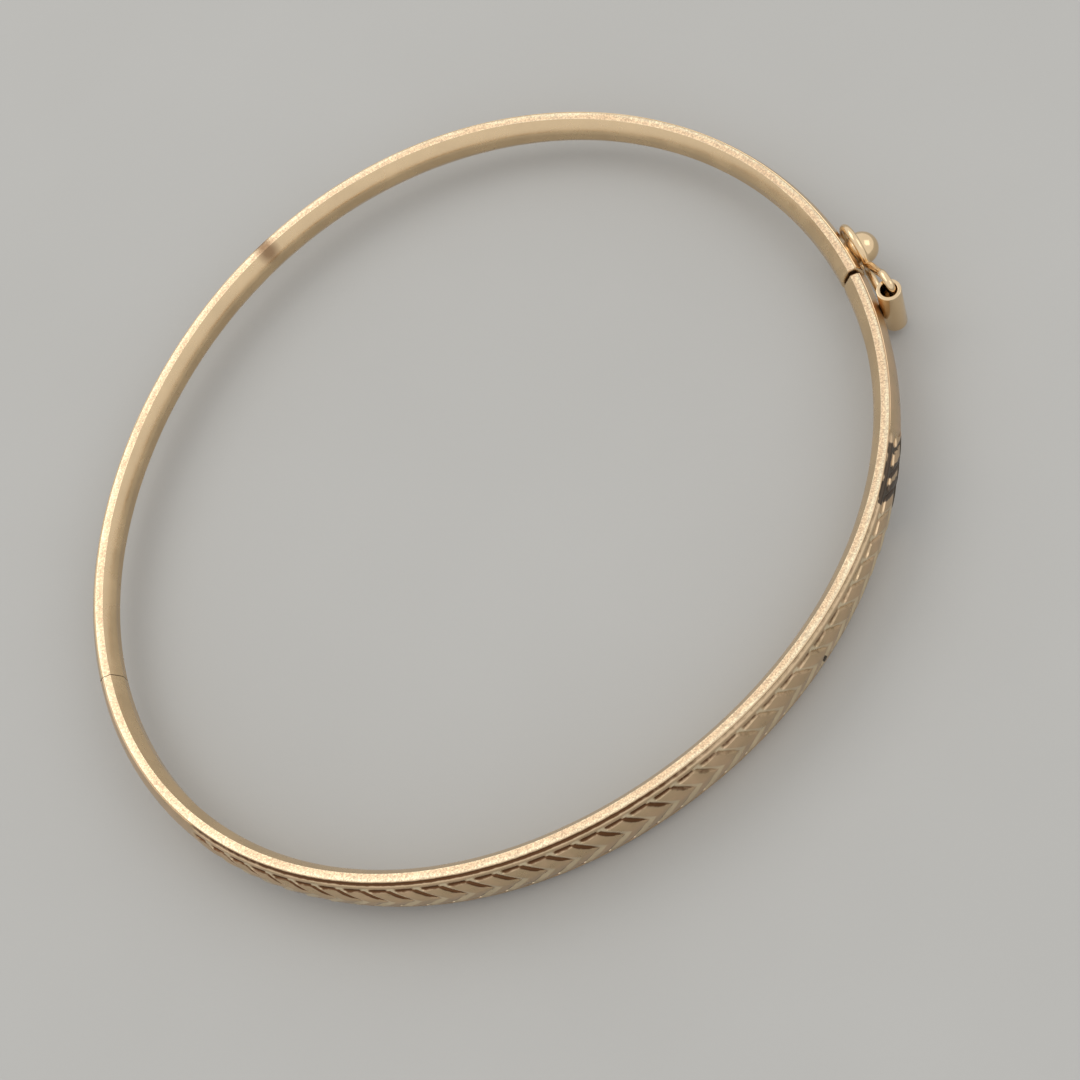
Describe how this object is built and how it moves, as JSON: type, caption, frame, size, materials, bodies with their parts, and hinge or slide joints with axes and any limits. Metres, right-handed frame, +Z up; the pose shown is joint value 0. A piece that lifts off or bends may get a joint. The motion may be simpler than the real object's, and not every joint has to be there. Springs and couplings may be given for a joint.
{
  "type": "hinged bangle bracelet",
  "caption": "Slim hollow oval bangle that opens on a hinge, its front half tapered and engraved with leaning leaves, closed by a tongue and a figure-of-eight safety catch.",
  "frame": {"origin": "middle of the footprint of the closed bangle, at the level of its lowest edge", "axes": "+Z up with the bangle lying on its edge faces, clasp towards +X, hinge towards -X, engraved front half towards -Y"},
  "size_m": [0.0616, 0.0558, 0.0056],
  "materials": {
    "satin_gold": "satin gold alloy, polished facets in the engraving",
    "polished_gold": "polished gold alloy",
    "plain_gold": "plain gold alloy, as filed and soldered"
  },
  "bodies": {
    "back_half": {"back_shell": "satin_gold", "back_liner": "polished_gold", "back_end_plate": "plain_gold", "tongue": "plain_gold", "back_hinge_plate": "plain_gold", "back_knuckle_upper": "plain_gold", "back_knuckle_lower": "plain_gold", "hinge_pin": "plain_gold", "stud_post": "plain_gold", "stud_ball": "polished_gold"},
    "front_half": {"front_shell": "satin_gold", "front_liner": "polished_gold", "front_mouth_plate": "plain_gold", "front_hinge_plate": "plain_gold", "front_knuckle": "plain_gold", "catch_tube": "polished_gold"},
    "safety_catch": {"catch_wire": "polished_gold"}
  },
  "joints": [
    {"name": "bangle_hinge", "type": "hinge", "parent": "back_half", "child": "front_half", "pos_m": [-0.03004, -0.00006, 0.0026], "axis": [0, 0, -1], "range_deg": [0, 50]},
    {"name": "catch_swing", "type": "hinge", "parent": "front_half", "child": "safety_catch", "pos_m": [0.0291, -0.0035, 0.0026], "axis": [0, 0, -1], "range_deg": [0, 165]}
  ]
}
